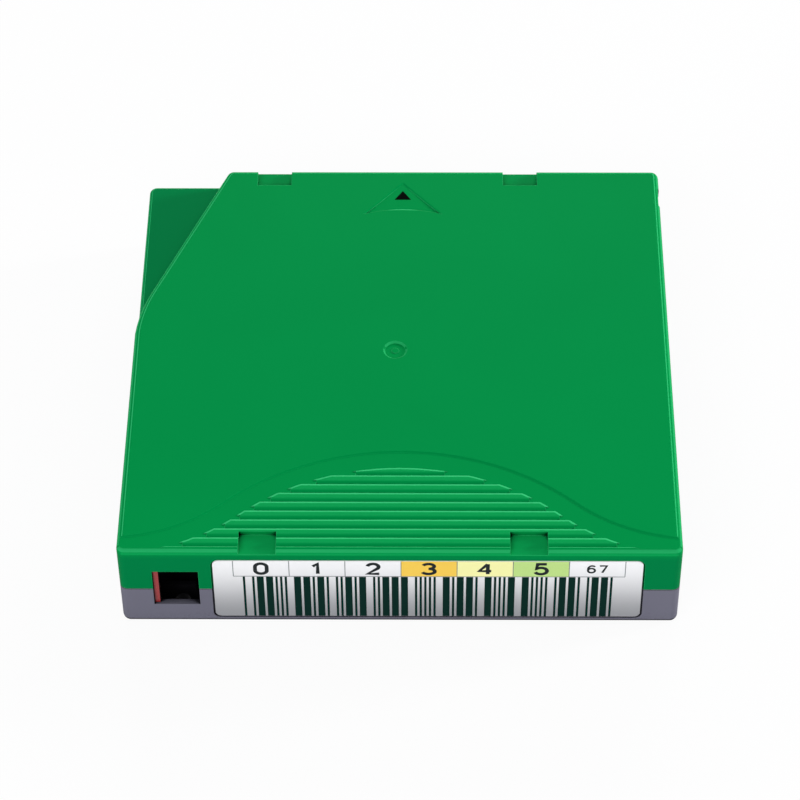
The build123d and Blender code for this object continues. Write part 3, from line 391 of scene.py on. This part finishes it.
def grip_line(shader, across):
    """How far back the ribs reach at each share of the half width, as a share of the grip's reach."""
    line = shader.node("ShaderNodeFloatCurve", {"Value": across})
    points = line.mapping.curves[0].points
    marks = [(share, behind / GRIP_REACH) for share, behind in GRIP_LINE]
    for share, behind in marks[1:-1]:
        points.new(share, behind)
    points[0].location = marks[0]
    points[-1].location = marks[-1]
    line.mapping.update()
    return line.outputs["Value"]


def painted_grip_highlight(shader):
    """Painted highlight mask: 1 on the rib tops and the seats of the front notches, else 0."""
    low, high = CAD_BOX
    place = shader.axes(shader.place())
    across = shader.math("DIVIDE", shader.math("ABSOLUTE", place["X"]), high[0])
    behind = shader.math("DIVIDE", shader.math("SUBTRACT", place["Y"], low[1]), GRIP_REACH * MM)
    inside = shader.math("LESS_THAN", behind, grip_line(shader, across))
    depth = depth_below_top(shader, place["Z"])
    tops = shader.math("LESS_THAN", depth, GRIP_TOP_DEPTH * MM)
    below = shader.math("GREATER_THAN", depth, GRIP_SEAT_DEPTH * MM)
    seats = shader.math("MULTIPLY", below, shader.math("LESS_THAN", depth, GRIP_SEAT_END * MM))
    return shader.math("MULTIPLY", inside, shader.math("MAXIMUM", tops, seats))


def moulded_plastic(name, colour, worn_highlight_colour, rough=0.5, gloss=0.4, tint=WHITE, edge=0.5, grip_highlight=None, wall_shade=None):
    """Grained moulding: flow marks, worn edges, painted highlights, painted shade on walls and in gaps."""
    material, shader, surface = new_material(name)
    grain = shader.group(GRAIN, MOULD_GRAIN)
    edges = shader.group(EDGE, SHARP_EDGE)
    gap_shade_outputs = shader.group(GAP_SHADE_TREE, GAP_SHADE_SETTINGS)
    body = shader.mix(grain["Flow"], shade(colour, 1 - FLOW_CONTRAST), shade(colour, 1 + FLOW_CONTRAST))
    # Edge mask: edges lightened by wear and a painted highlight.
    wear_and_highlight = shader.math("MULTIPLY", edges["Edge"], edge)
    # Painted shade: walls and the guide step darken below the top of the case.
    if wall_shade:
        body = shader.mix(painted_wall_shade(shader), body, wall_shade)
    # Painted highlight: rib tops and notch seats made lighter.
    if grip_highlight:
        body = shader.mix(shader.math("MULTIPLY", painted_grip_highlight(shader), GRIP_HIGHLIGHT_SHARE), body, grip_highlight)
        # Painted highlight on rounded and eased edges.
        wear_and_highlight = shader.math("MAXIMUM", wear_and_highlight, painted_slope_highlight(shader))
    # Painted shade: deep in gaps and openings the colour goes nearly black.
    finish_surface(shader, surface,
                   shader.mix(gap_shade_outputs["Open"], shade(colour, GAP_SHADE), shader.mix(wear_and_highlight, body, worn_highlight_colour)),
                   shader.spread(grain["Grain"], rough - ROUGHNESS_CHANGE, rough + ROUGHNESS_CHANGE),
                   grain["Grain"], GRAIN_STRENGTH, GRAIN_DEPTH, edges["Normal"])
    surface.inputs["Specular IOR Level"].default_value = gloss
    surface.inputs["Specular Tint"].default_value = tint
    return material


def bright_metal(name, colour, rough, streak=(1.0, 1.0, 12.0)):
    """Turned, stamped or drawn metal with fine streaks."""
    material, shader, surface = new_material(name)
    stretched = shader.node("ShaderNodeMapping", {"Vector": shader.place(), "Scale": streak})
    lines = shader.noise(stretched.outputs["Vector"], STREAKS_PER_METRE, detail=4.0, roughness=0.6)
    less, more = STREAK_ROUGHNESS
    finish_surface(shader, surface, shader.mix(lines, shade(colour, DULL_STREAK), colour),
                   shader.spread(lines, rough - less, rough + more), lines, strength=0.3, depth=0.000004)
    surface.inputs["Metallic"].default_value = 1.0
    return material


def label_film(name):
    """Satin white film: painted shade makes it greyer towards its lower edge; fine paper-like grain."""
    material, shader, surface = new_material(name)
    low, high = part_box("barcode_label")
    place = shader.place()
    height = shader.fade(shader.axes(place)["Z"], low.z, high.z)
    # Painted shade: the film greys towards its lower edge.
    shaded_tone = shader.mix(height, linear(*SHADED_FILM_FOOT), linear(*FILM_HEAD))
    fibre = shader.noise(place, scale=5200.0, detail=3.0, roughness=0.6)
    finish_surface(shader, surface,
                   shader.mix(shader.math("MULTIPLY", fibre, FIBRE_SHARE), shaded_tone, grey(FIBRE_GREY)),
                   shader.spread(fibre, low=0.3, high=0.4), fibre, strength=0.2, depth=0.000006)
    return material


def ink(name):
    """Printed ink with a slightly uneven lay."""
    material, shader, surface = new_material(name)
    colour = linear(*INKS[name])
    lay = shader.noise(shader.place(), scale=3200.0, detail=3.0, roughness=0.6)
    finish_surface(shader, surface, shader.mix(lay, colour, shade(colour, THIN_INK)),
                   shader.spread(lay, *INK_ROUGHNESS), lay, strength=0.2, depth=0.000003)
    surface.inputs["Specular IOR Level"].default_value = INK_GLOSS
    return material


def wound_tape(name):
    """Edges of wound tape: very fine rings about the reel axis, a few turns standing proud."""
    material, shader, surface = new_material(name)
    low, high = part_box("tape_pack")
    axis = ((low.x + high.x) / 2, (low.y + high.y) / 2, 0.0)
    centred = shader.vector_math("SUBTRACT", shader.place(), axis)["Vector"]
    flat = shader.vector_math("MULTIPLY", centred, (1.0, 1.0, 0.0))["Vector"]
    radius = shader.vector_math("LENGTH", flat)["Value"]
    along = shader.node("ShaderNodeCombineXYZ", {"X": radius}).outputs["Vector"]
    turns = shader.noise(along, scale=9000.0, detail=4.0, roughness=0.75)
    finish_surface(shader, surface, shader.mix(turns, (0.012, 0.01, 0.009, 1.0), (0.05, 0.043, 0.038, 1.0)),
                   shader.spread(turns, low=0.22, high=0.42), turns, strength=0.4, depth=0.00001)
    return material


def circuit_board(name):
    """Solder mask over faint copper fields."""
    material, shader, surface = new_material(name)
    fields = shader.noise(shader.place(), scale=420.0, detail=1.0, roughness=0.4)
    finish_surface(shader, surface, shader.mix(fields, (0.01, 0.09, 0.03, 1.0), (0.02, 0.16, 0.06, 1.0)),
                   shader.spread(fields, low=0.28, high=0.38), fields, strength=0.15, depth=0.00001)
    return material


def dress_cad_nodes():
    """Give every CAD piece its finish."""
    natural = moulded_plastic("natural_moulding", (0.62, 0.61, 0.57, 1.0), worn_highlight_colour=(0.8, 0.79, 0.76, 1.0),
                              rough=0.42, edge=0.3)
    spring = bright_metal("spring_wire", (0.58, 0.57, 0.56, 1.0), rough=0.3)
    finishes = {
        "upper_shell": moulded_plastic("green_moulding", linear(0, 145, 71), worn_highlight_colour=linear(52, 196, 120),
                                       gloss=SHELL_GLOSS, tint=(0.0, 1.0, 0.45, 1.0), edge=0.9,
                                       grip_highlight=linear(14, 162, 84), wall_shade=linear(0, 127, 68)),
        "lower_shell": moulded_plastic("grey_moulding", linear(114, 113, 127), worn_highlight_colour=linear(146, 146, 156),
                                       rough=0.52, gloss=SHELL_GLOSS, tint=(0.8, 0.8, 1.0, 1.0)),
        "case_screws": bright_metal("zinc_screw", (0.52, 0.53, 0.55, 1.0), rough=0.34),
        "barcode_label": label_film("label_film_white"),
        "write_protect_switch": moulded_plastic("red_moulding", linear(158, 42, 44),
                                                worn_highlight_colour=linear(190, 90, 88), rough=0.4),
        "memory_board": circuit_board("board_mask"),
        "memory_antenna": bright_metal("antenna_copper", (0.8, 0.4, 0.22, 1.0), rough=0.3),
        "memory_chip": moulded_plastic("chip_black", (0.015, 0.015, 0.016, 1.0), worn_highlight_colour=grey(0.05)),
        "leader_pin": bright_metal("turned_steel", (0.66, 0.66, 0.67, 1.0), rough=0.2,
                                   streak=(1.0, 1.0, 20.0)),
        "leader_pin_clip": natural,
        "pin_retainer_springs": spring,
        "tape_leader": wound_tape("tape_run"),
        "door": moulded_plastic("door_moulding", linear(92, 92, 104), worn_highlight_colour=linear(140, 140, 150),
                                rough=0.48),
        "door_spring": spring,
        "reel_hub": natural,
        "reel_upper_flange": natural,
        "reel_plate": bright_metal("clutch_plate", (0.5, 0.5, 0.52, 1.0), rough=0.32,
                                   streak=(8.0, 1.0, 1.0)),
        "tape_pack": wound_tape("tape_roll_edge"),
        "brake_button": moulded_plastic("brake_moulding", (0.5, 0.49, 0.45, 1.0),
                                        worn_highlight_colour=(0.65, 0.64, 0.6, 1.0), rough=0.45),
        "brake_spider": moulded_plastic("spider_moulding", (0.42, 0.36, 0.24, 1.0),
                                        worn_highlight_colour=(0.6, 0.55, 0.42, 1.0), rough=0.4),
        "brake_spring": spring,
    }
    for name, material in finishes.items():
        for slot in frame["nodes"][name].material_slots:
            slot.material = material


def shortening_springs():
    """Copies of the springs that deform with a joint, put on the case in place of the rigid ones."""
    for joint in frame["record"]["behaviour"]["joints"]:
        for spring in joint.get("deforming_nodes", ()):
            node, letter = spring["node"], spring["mode"][-1]
            piece = bpy.data.objects.new(f"{node}_coil", frame["nodes"][node].data.copy())
            bpy.context.scene.collection.objects.link(piece)
            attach(piece, "case")
            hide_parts(node)
            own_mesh(piece)


def label_face():
    """Lower edge, upper edge and front plane of the label, in millimetres."""
    low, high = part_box("barcode_label")
    return low.z / MM, high.z / MM, low.y / MM


def join_rings(mesh, first, second):
    """Side faces between two rings of corners."""
    for corner in range(len(first)):
        after = (corner + 1) % len(first)
        mesh.faces.new((first[corner], first[after], second[after], second[corner]))


def add_ribbon(mesh, left, right, lift, closed=False):
    """Thin flat strip of print between two rows of points on the label's face, in millimetres."""
    back = label_face()[2] - lift
    front = back - PRINT_THICKNESS
    rows = []
    for (x0, z0), (x1, z1) in zip(left, right):
        corners = ((x0, front, z0), (x1, front, z1), (x1, back, z1), (x0, back, z0))
        rows.append([mesh.verts.new(Vector(corner) * MM) for corner in corners])
    pairs = list(zip(rows, rows[1:]))
    if closed:
        pairs.append((rows[-1], rows[0]))
    else:
        mesh.faces.new(rows[0])
        mesh.faces.new(rows[-1])
    for first, second in pairs:
        join_rings(mesh, first, second)


def add_block(mesh, x0, x1, z0, z1, lift):
    """Upright bar of print on the label's face, in millimetres."""
    add_ribbon(mesh, ((x0, z0), (x0, z1)), ((x1, z0), (x1, z1)), lift)


def add_stroke(mesh, path, width, lift, closed=False):
    """Stroke of even width along a row of points on the label's face, in millimetres."""
    points = [Vector(point) for point in path]
    count = len(points)
    left, right = [], []
    for index, point in enumerate(points):
        before = points[index - 1] if closed or index else point
        after = points[(index + 1) % count] if closed or index + 1 < count else point
        runs = [run.normalized() for run in (point - before, after - point) if run.length]
        sides = [Vector((-run.y, run.x)) for run in runs]
        middle = sum(sides, Vector((0.0, 0.0))).normalized()
        reach = min(1.0 / middle.dot(sides[0]), MITRE_LIMIT) * width / 2
        left.append(point + middle * reach)
        right.append(point - middle * reach)
    add_ribbon(mesh, left, right, lift, closed)


def arc(x, z, across, up, start, end):
    """Points along part of an ellipse, from one angle to another."""
    count = max(2, round(abs(end - start) / ARC_STEP))
    turns = [radians(start + (end - start) * index / count) for index in range(count + 1)]
    return [(x + across * cos(turn), z + up * sin(turn)) for turn in turns]


def digit_strokes(digit):
    """Open and closed strokes of one plain digit, in a square of side 1."""
    shapes = {
        "0": [(arc(0.5, 0.68, 0.48, 0.32, 180, 0) + arc(0.5, 0.32, 0.48, 0.32, 0, -180), True)],
        "1": [([(0.16, 0.74), (0.56, 0.98), (0.56, 0.0)], False)],
        "2": [(arc(0.5, 0.7, 0.46, 0.3, 168, -38) + [(0.06, 0.0), (1.0, 0.0)], False)],
        "3": [(arc(0.46, 0.76, 0.46, 0.24, 160, -90), False),
              (arc(0.46, 0.26, 0.52, 0.26, 90, -162), False)],
        "4": [([(0.72, 0.0), (0.72, 1.0)], False), ([(0.7, 0.98), (0.02, 0.3), (1.0, 0.3)], False)],
        "5": [([(0.94, 1.0), (0.2, 1.0), (0.1, 0.53)] + arc(0.48, 0.32, 0.5, 0.32, 138, -158), False)],
        "6": [(arc(0.5, 0.31, 0.48, 0.31, 0, 348), True), (arc(0.58, 0.5, 0.56, 0.5, 195, 48), False)],
        "7": [([(0.0, 1.0), (0.98, 1.0), (0.38, 0.0)], False)],
    }
    return shapes[digit]


def finish_print(name, mesh, material):
    """Turn a print mesh into a piece that rides on the case."""
    bmesh.ops.recalc_face_normals(mesh, faces=mesh.faces)
    data = bpy.data.meshes.new(name)
    mesh.to_mesh(data)
    mesh.free()
    piece = bpy.data.objects.new(name, data)
    bpy.context.scene.collection.objects.link(piece)
    data.materials.append(material)
    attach(piece, "case")


def cell_edges(index):
    """Left and right edge of a label cell."""
    left = CELL_FIRST_X + index * CELL_PITCH
    return left, left + CELL_PITCH


def cell_lines():
    """Fine lines between the cells and under them."""
    top = label_face()[1] - LABEL_INSET
    half = CELL_LINE / 2
    mesh = bmesh.new()
    for index in range(CELL_COUNT + 1):
        x = CELL_FIRST_X + index * CELL_PITCH
        add_block(mesh, x - half, x + half, CELL_FLOOR_Z, top, PRINT_LIFT)
    right = CELL_FIRST_X + CELL_COUNT * CELL_PITCH
    add_block(mesh, CELL_FIRST_X, right, CELL_FLOOR_Z - half, CELL_FLOOR_Z + half, PRINT_LIFT)
    finish_print("label_cell_lines", mesh, ink("line_ink"))


def bar_widths(digits):
    """Widths of bars and gaps in turn: two wide bars and one wide gap to a digit, a mark at both ends."""
    mark = [1, WIDE_BAR, 1, 1, WIDE_BAR, 1, WIDE_BAR, 1, 1]
    widths = mark + [1]
    for digit in digits:
        total = int(digit) or BAR_ZERO_SUM
        wide = [total - weight in BAR_WEIGHTS and total - weight != weight for weight in BAR_WEIGHTS]
        for place in range(len(BAR_WEIGHTS)):
            widths.append(WIDE_BAR if wide[place] else 1)
            widths.append(WIDE_BAR if place == WIDE_GAP_PLACE else 1)
    return widths + mark


def label_bars():
    """Row of upright bars that runs down to the label's lower edge."""
    bottom = label_face()[0] + LABEL_INSET
    widths = bar_widths("".join(CELL_DIGITS))
    step = (BAR_END_X - BAR_START_X) / sum(widths)
    mesh = bmesh.new()
    x = BAR_START_X
    for index, width in enumerate(widths):
        if index % 2 == 0:
            add_block(mesh, x, x + width * step, bottom, CELL_FLOOR_Z - CELL_LINE, PRINT_LIFT)
        x += width * step
    finish_print("label_bars", mesh, ink("bar_ink"))


def tinted_cells():
    """Coloured fields of three cells."""
    top = label_face()[1] - LABEL_INSET
    for index, name in TINTED_CELLS.items():
        left, right = cell_edges(index)
        mesh = bmesh.new()
        add_block(mesh, left, right, CELL_FLOOR_Z, top, 0.0)
        finish_print(f"label_cell_{name}", mesh, ink(name))


def label_digits():
    """Plain numbers in the cells."""
    digit_ink = ink("digit_ink")
    middle_z = (CELL_FLOOR_Z + label_face()[1]) / 2
    for index, digits in enumerate(CELL_DIGITS):
        single = len(digits) == 1
        width, height = DIGIT_SIZE if single else SMALL_DIGIT_SIZE
        stroke = DIGIT_STROKE if single else SMALL_DIGIT_STROKE
        pitch = width + SMALL_DIGIT_GAP
        start = sum(cell_edges(index)) / 2 - (len(digits) * pitch - SMALL_DIGIT_GAP) / 2 + stroke / 2
        mesh = bmesh.new()
        for place, digit in enumerate(digits):
            left = start + place * pitch
            for layer, (points, closed) in enumerate(digit_strokes(digit)):
                path = [(left + x * (width - stroke), middle_z + (z - 0.5) * (height - stroke))
                        for x, z in points]
                add_stroke(mesh, path, stroke, PRINT_LIFT + layer * LAYER_LIFT, closed)
        finish_print(f"label_digit_{index}", mesh, digit_ink)


def printed_arrow():
    """Small printed triangle on the sunk floor of the moulded arrow."""
    (far_y, far_depth), (near_y, near_depth) = ARROW_FLOOR
    slope = (near_depth - far_depth) / (far_y - near_y)
    outline = ((-ARROW_HALF_WIDTH, ARROW_BASE_Y), (ARROW_HALF_WIDTH, ARROW_BASE_Y), ARROW_TIP)
    face_z = CAD_BOX[1][2] / MM
    mesh = bmesh.new()

    def level(lift):
        corners = [(x, y, face_z - far_depth - slope * (far_y - y) + lift) for x, y in outline]
        return [mesh.verts.new(Vector(corner) * MM) for corner in corners]

    floor = level(ARROW_INK_HEIGHT / 2)
    top = level(ARROW_INK_HEIGHT)
    mesh.faces.new(floor)
    mesh.faces.new(top)
    join_rings(mesh, floor, top)
    finish_print("insertion_arrow_print", mesh, ink("arrow_ink"))


def direct_view(shader):
    """1 for rays from the camera, from a gloss or through glass, else 0."""
    path = shader.node("ShaderNodeLightPath").outputs
    seen = shader.math("MAXIMUM", path["Is Camera Ray"], path["Is Transmission Ray"])
    return shader.math("MAXIMUM", seen, path["Is Glossy Ray"])


def studio_floor():
    """Pale floor that stays white to the eye and keeps a soft shadow."""
    bpy.ops.mesh.primitive_plane_add(size=FLOOR_SIZE, location=(0, 0, -FLOOR_DROP))
    floor = bpy.context.object
    floor.name = "studio_floor"
    material, shader, surface = new_material("studio_paper")
    surface.inputs["Base Color"].default_value = linear(*FLOOR_COLOUR)
    surface.inputs["Roughness"].default_value = FLOOR_ROUGHNESS
    white = shader.node("ShaderNodeEmission", {"Color": WHITE, "Strength": 1.0})
    blend = shader.node("ShaderNodeMixShader", {
        0: shader.math("MULTIPLY", direct_view(shader), FLOOR_WHITE_SHARE),
        1: surface.outputs["BSDF"],
        2: white.outputs["Emission"],
    })
    shader.feed(material.node_tree.nodes["Material Output"].inputs["Surface"], blend.outputs["Shader"])
    floor.data.materials.append(material)


def soft_box(name, place, size, watts, colour=(1.0, 1.0, 1.0)):
    """Soft studio light that looks at the middle of the floor under the case."""
    light = bpy.data.lights.new(name, "AREA")
    light.shape = "RECTANGLE"
    light.size, light.size_y = size
    light.energy = watts
    light.color = colour
    lamp = bpy.data.objects.new(name, light)
    lamp.location = place
    lamp.rotation_euler = (-Vector(place)).to_track_quat("-Z", "Y").to_euler()
    bpy.context.scene.collection.objects.link(lamp)


def studio_lights():
    """Low lights behind and on the right, raking over the ribs and the step, and a softer one in front."""
    soft_box("back_light", place=(0.1, 1.2, 0.45), size=(0.9, 0.2), watts=9.8)
    soft_box("right_light", place=(1.15, 0.3, 0.32), size=(0.2, 0.2), watts=9.6)
    soft_box("front_light", place=(-0.4, -1.0, 0.85), size=(1.2, 0.5), watts=11.5,
             colour=(0.97, 0.98, 1.0))


def studio_world():
    """Even white surround, pure white to the camera."""
    world = bpy.data.worlds.new("studio_surround")
    bpy.context.scene.world = world
    world.use_nodes = True
    shader = Shader(world.node_tree)
    surround = world.node_tree.nodes["Background"]
    surround.inputs["Color"].default_value = WHITE
    shader.feed(surround.inputs["Strength"], shader.spread(direct_view(shader), WORLD_STRENGTH, 1.0))


def studio_camera():
    """Camera at the photograph's viewing angle."""
    pitch, yaw, roll = (radians(angle) for angle in (CAMERA_PITCH, CAMERA_YAW, CAMERA_ROLL))
    forward = Vector((sin(yaw) * cos(pitch), cos(yaw) * cos(pitch), -sin(pitch)))
    level = Vector((cos(yaw), -sin(yaw), 0.0))
    upright = level.cross(forward)
    right = cos(roll) * level + sin(roll) * upright
    up = -sin(roll) * level + cos(roll) * upright
    place = (Vector(CAMERA_TARGET_MM) - forward * CAMERA_DISTANCE_MM) * MM
    data = bpy.data.cameras.new("studio_camera")
    data.sensor_width = SENSOR_MM
    data.lens = FOCAL_PIXELS / FRAME_PIXELS * SENSOR_MM
    data.clip_start = CAMERA_CLIP_START_MM * MM
    camera = bpy.data.objects.new("studio_camera", data)
    turn = Matrix((right, up, -forward)).transposed().to_4x4()
    camera.matrix_world = Matrix.Translation(place) @ turn
    bpy.context.scene.collection.objects.link(camera)
    bpy.context.scene.camera = camera


bpy.context.scene.view_settings.view_transform = "Standard"
dress_cad_nodes()
shortening_springs()
cell_lines()
label_bars()
tinted_cells()
label_digits()
printed_arrow()
studio_floor()
studio_lights()
studio_world()
studio_camera()
